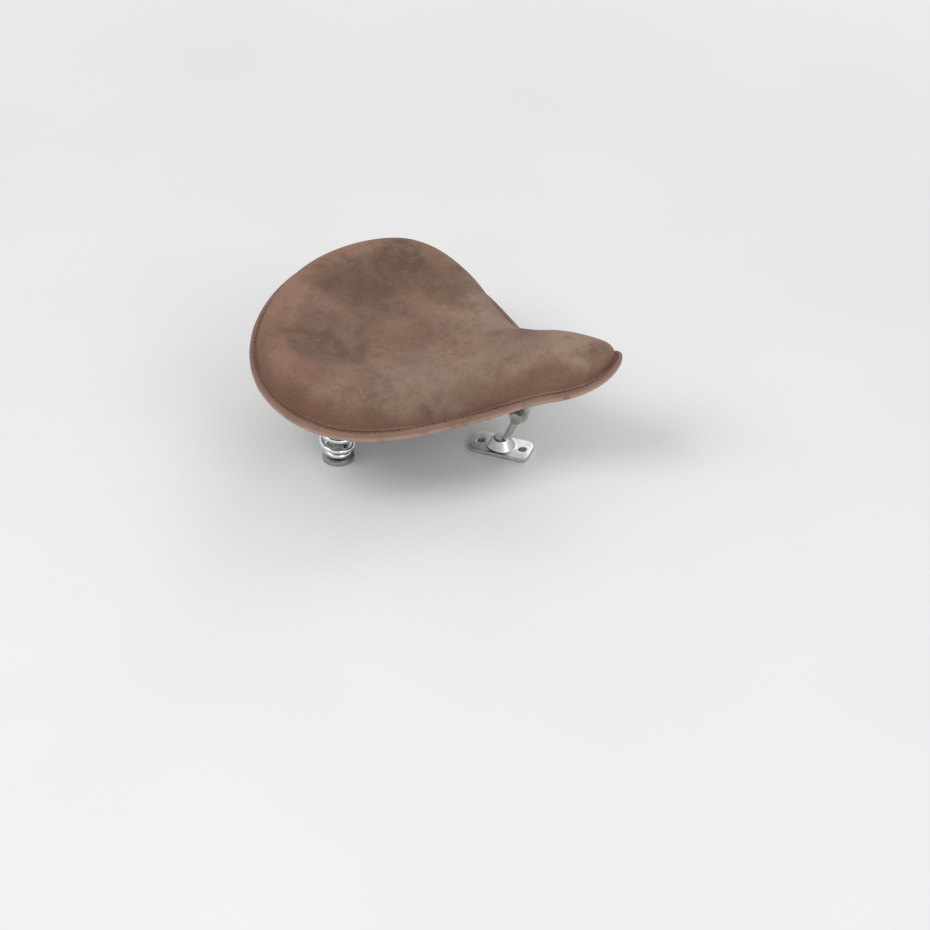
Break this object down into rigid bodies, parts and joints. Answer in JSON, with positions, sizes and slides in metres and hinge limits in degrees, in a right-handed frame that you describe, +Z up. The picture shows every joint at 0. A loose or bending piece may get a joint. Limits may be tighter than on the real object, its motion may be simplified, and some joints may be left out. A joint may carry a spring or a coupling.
{
  "type": "sprung solo motorcycle seat",
  "caption": "Sprung solo motorcycle saddle: crowned leather cover with an edge band on a dished steel pan, hinged at the nose on a frame post and carried at the rear by barrel coil springs.",
  "frame": {"origin": "middle of the seat's length and width, on the plane of the motorcycle frame that the feet stand on", "axes": "+X towards the nose, +Y to the rider's left, +Z up"},
  "size_m": [0.385, 0.3326, 0.1594],
  "materials": {
    "cover_leather": "worn",
    "band_leather": "worn",
    "foam": "matte",
    "black_steel": "satin",
    "spring_chrome": "polished",
    "post_chrome": "polished",
    "zinc": "satin",
    "bronze": "satin"
  },
  "bodies": {
    "frame_side": {"clamp_nut_lower_left": "zinc", "clamp_nut_lower_right": "zinc", "clamp_washer_lower_left": "zinc", "clamp_washer_lower_right": "zinc", "front_post": "post_chrome", "pivot_bush_left": "bronze", "pivot_bush_right": "bronze", "spring_foot_left": "zinc", "spring_foot_right": "zinc", "spring_left": "spring_chrome", "spring_right": "spring_chrome"},
    "seat": {"clamp_nut_upper_left": "zinc", "clamp_nut_upper_right": "zinc", "clamp_washer_upper_left": "zinc", "clamp_washer_upper_right": "zinc", "clevis_bolt_front": "zinc", "clevis_bolt_rear": "zinc", "clevis_lock_washer_front": "zinc", "clevis_lock_washer_rear": "zinc", "edge_band": "band_leather", "foam_pad": "foam", "hem_rivet_left_03": "zinc", "hem_rivet_left_08": "zinc", "hem_rivet_left_14": "zinc", "hem_rivet_left_20": "zinc", "hem_rivet_left_25": "zinc", "hem_rivet_right_03": "zinc", "hem_rivet_right_08": "zinc", "hem_rivet_right_14": "zinc", "hem_rivet_right_20": "zinc", "hem_rivet_right_25": "zinc", "leather_cover": "cover_leather", "nose_clevis": "zinc", "nose_doubler": "black_steel", "pivot_bolt": "zinc", "pivot_nut": "zinc", "pivot_washer_left": "zinc", "pivot_washer_right": "zinc", "seat_pan": "black_steel", "spring_perch_left": "black_steel", "spring_perch_right": "black_steel"}
  },
  "joints": [
    {"name": "seat_pivot", "type": "hinge", "parent": "frame_side", "child": "seat", "pos_m": [0.093, 0, 0.06436], "axis": [0, -1, 0], "range_deg": [0, 7], "stiffness_Nm_per_rad": 1200, "springref_deg": -0.57, "deforming": ["spring_left", "spring_right"]}
  ]
}
